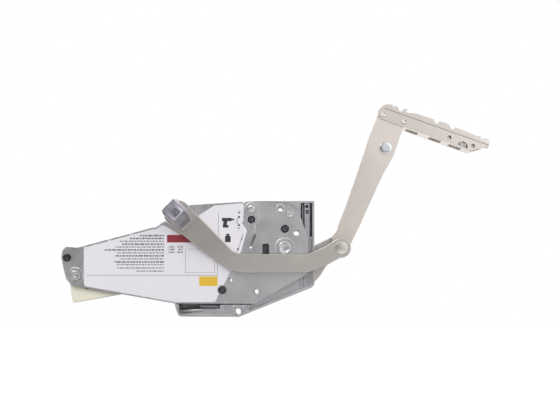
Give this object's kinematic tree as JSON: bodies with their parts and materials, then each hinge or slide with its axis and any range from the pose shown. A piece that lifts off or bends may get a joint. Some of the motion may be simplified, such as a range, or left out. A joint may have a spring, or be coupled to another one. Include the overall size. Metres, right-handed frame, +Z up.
{
  "type": "lift-up door mechanism",
  "caption": "Lift-up cabinet door mechanism with a spring housing, lift arm, control lever and upper arm carrying a door rail.",
  "frame": {"origin": "axis of the see-through front fixing hole, on the face that meets the cabinet side", "axes": "+X towards the cabinet's front, +Z up, +Y into the cabinet side, so the mechanism stands out to -Y"},
  "size_m": [0.4425, 0.065, 0.2192],
  "materials": {
    "zinc_casting": "satin die-cast zinc",
    "zinc_sheet": "satin zinc-plated steel",
    "nickel_steel": "satin nickel-plated steel",
    "pale_steel": "satin nickel-plated steel",
    "bright_steel": "bright nickel",
    "spring_steel": "oiled",
    "nylon_cream": "moulded nylon",
    "nylon_grey": "moulded nylon",
    "socket_zinc": "satin die-cast zinc",
    "black_steel": "black oxide",
    "label_film": "printed film"
  },
  "bodies": {
    "housing": {"housing_base": "zinc_casting", "cover_plate": "zinc_sheet", "label_sheet": "label_film", "front_stiffener": "bright_steel", "spring_pivot_rivet": "zinc_sheet", "lever_pivot_pin": "zinc_sheet", "cover_rivet": "zinc_sheet", "adjuster_rivet": "zinc_sheet", "arm_pivot_bush": "nylon_grey", "rear_screw": "black_steel", "low_screw": "black_steel", "front_screw": "black_steel", "damper_cylinder": "nylon_grey", "adjuster_plate": "zinc_sheet"},
    "force_screw": {"force_screw": "black_steel"},
    "force_slider": {"force_slider": "nylon_grey"},
    "spring_carrier": {"spring_carrier": "nylon_cream", "upper_spring": "spring_steel", "lower_spring": "spring_steel"},
    "spring_thrust": {"thrust_slider": "nylon_grey", "upper_guide": "zinc_sheet", "lower_guide": "zinc_sheet"},
    "control_lever": {"lever_cheek_back": "nickel_steel", "lever_cheek_front": "nickel_steel", "lever_sleeve": "bright_steel", "crank_pin": "bright_steel", "elbow_spacer": "bright_steel", "shank_spacer": "bright_steel", "head_spacer": "bright_steel"},
    "crank_roller": {"crank_roller": "nylon_grey"},
    "lift_arm": {"lift_arm_bar": "nickel_steel", "arm_axle": "bright_steel", "axle_clip": "bright_steel", "rod_socket": "socket_zinc", "socket_screw": "bright_steel", "knee_rivet": "nickel_steel"},
    "upper_arm": {"upper_arm_plate": "pale_steel", "head_pivot_pin": "bright_steel", "head_collar": "pale_steel", "door_rail": "pale_steel", "hook_plate": "pale_steel", "left_rail_rivet": "pale_steel", "right_rail_rivet": "pale_steel"},
    "height_cam": {"height_cam": "zinc_casting"}
  },
  "joints": [
    {"name": "lever_swing", "type": "hinge", "parent": "housing", "child": "control_lever", "pos_m": [-0.012, -0.013, -0.0158], "axis": [0, -1, 0], "range_deg": [-131.2, 0]},
    {"name": "arm_swing", "type": "hinge", "parent": "housing", "child": "lift_arm", "pos_m": [-0.122, -0.02, 0.019], "axis": [0, -1, 0], "range_deg": [-76.04, 0]},
    {"name": "head_swing", "type": "hinge", "parent": "control_lever", "child": "upper_arm", "pos_m": [0.0917, -0.025, 0.0868], "axis": [0, -1, 0], "range_deg": [0, 60.68]},
    {"name": "carrier_tilt", "type": "hinge", "parent": "housing", "child": "spring_carrier", "pos_m": [-0.2277, -0.015, -0.0442], "axis": [0, -1, 0], "range_deg": [-2.4, 0]},
    {"name": "thrust_slide", "type": "slide", "parent": "spring_carrier", "child": "spring_thrust", "axis": [0.9937, 0, 0.1124], "range_m": [-0.0356, 0], "deforming": ["upper_spring", "lower_spring"]},
    {"name": "roller_spin", "type": "hinge", "parent": "control_lever", "child": "crank_roller", "pos_m": [0.00792, -0.013, -0.01754], "axis": [0, -1, 0], "continuous": true},
    {"name": "force_turn", "type": "hinge", "parent": "housing", "child": "force_screw", "pos_m": [-0.04645, -0.026, 0.0133], "axis": [0, -1, 0], "range_deg": [0, 90]},
    {"name": "force_slide", "type": "slide", "parent": "housing", "child": "force_slider", "axis": [0.342, 0, 0.9397], "range_m": [0, 0.0086]},
    {"name": "cam_turn", "type": "hinge", "parent": "upper_arm", "child": "height_cam", "pos_m": [0.17202, -0.03, 0.0932], "axis": [0, -1, 0], "range_deg": [-60, 60]}
  ],
  "couplings": [
    {"joint": "arm_swing", "follows": "lever_swing", "ratio": 0.5792},
    {"joint": "head_swing", "follows": "lever_swing", "ratio": -0.46211},
    {"joint": "carrier_tilt", "follows": "lever_swing", "ratio": 0.01767},
    {"joint": "thrust_slide", "follows": "lever_swing", "m_per_rad": 0.015432},
    {"joint": "force_slide", "follows": "force_turn", "m_per_rad": 0.005402}
  ]
}
